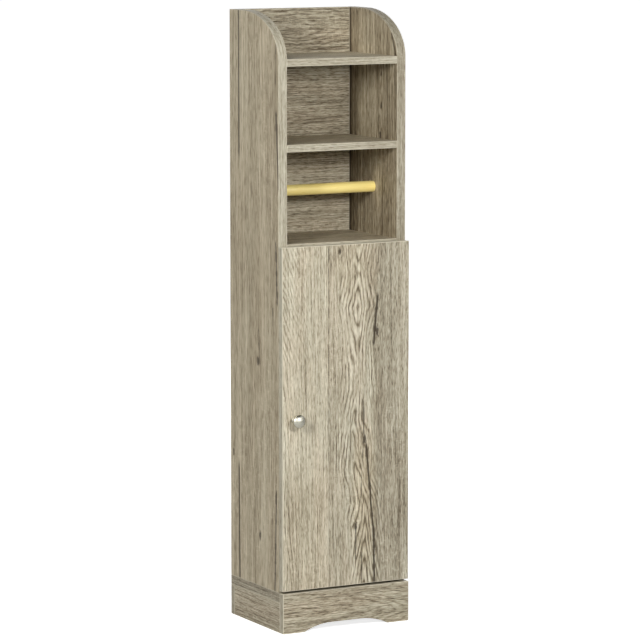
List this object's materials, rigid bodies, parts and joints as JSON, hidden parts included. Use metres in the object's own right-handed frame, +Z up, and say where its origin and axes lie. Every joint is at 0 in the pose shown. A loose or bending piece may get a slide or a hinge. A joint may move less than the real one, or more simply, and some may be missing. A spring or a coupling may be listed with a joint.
{
  "type": "narrow bathroom cabinet",
  "caption": "Tall narrow bathroom cabinet: open shelves and a roll bar above, a cupboard with a hinged door below, on a plinth with a low arch.",
  "frame": {"origin": "on the floor, below the middle of the whole box", "axes": "+Z up, +Y from the door towards the wall, +X to the right of someone facing the door"},
  "size_m": [0.2362, 0.208, 1],
  "materials": {
    "oak_decor": "washed oak decor, matt",
    "hardboard": "smooth brown hardboard",
    "pine_bar": "clear satin lacquer",
    "beech": "bare, planed",
    "satin_nickel": "satin nickel",
    "zinc_plate": "bright zinc",
    "catch_plastic": "moulded, matt",
    "magnet": "sintered, dark",
    "bumper": "translucent soft pad"
  },
  "bodies": {
    "carcass": {"left_side_panel": "oak_decor", "right_side_panel": "oak_decor", "top_shelf": "oak_decor", "middle_shelf": "oak_decor", "cupboard_top": "oak_decor", "upper_back_panel": "oak_decor", "bottom_board": "oak_decor", "cupboard_shelf": "oak_decor", "front_plinth": "oak_decor", "left_plinth": "oak_decor", "right_plinth": "oak_decor", "back_plinth": "oak_decor", "lower_back_panel": "hardboard", "front_left_corner_block": "beech", "back_left_corner_block": "beech", "front_right_corner_block": "beech", "back_right_corner_block": "beech", "wood_dowels": "beech", "upper_hinge_frame_leaf": "satin_nickel", "lower_hinge_frame_leaf": "satin_nickel", "upper_hinge_pin": "satin_nickel", "lower_hinge_pin": "satin_nickel", "frame_leaf_screws": "satin_nickel", "shelf_pins": "satin_nickel", "cam_bolts": "zinc_plate", "cam_locks": "zinc_plate", "back_panel_screws": "zinc_plate", "base_screws": "zinc_plate", "corner_block_screws": "zinc_plate", "catch_pole_plates": "zinc_plate", "catch_screws": "zinc_plate", "catch_housing": "catch_plastic", "catch_magnet": "magnet"},
    "door": {"door_panel": "oak_decor", "door_knob": "satin_nickel", "knob_screw": "zinc_plate", "door_bumpers": "bumper", "upper_hinge_door_leaf": "satin_nickel", "lower_hinge_door_leaf": "satin_nickel", "door_leaf_screws": "satin_nickel", "strike_plate": "zinc_plate", "strike_screw": "zinc_plate"},
    "bar": {"roll_bar": "pine_bar"}
  },
  "joints": [
    {"name": "door_hinge", "type": "hinge", "parent": "carcass", "child": "door", "pos_m": [0.1161, -0.06875, 0.3486], "axis": [0, 0, 1], "range_deg": [0, 180]},
    {"name": "roll_bar_spin", "type": "hinge", "parent": "carcass", "child": "bar", "pos_m": [-0.0021, 0.01195, 0.7095], "axis": [1, 0, 0], "continuous": true}
  ]
}
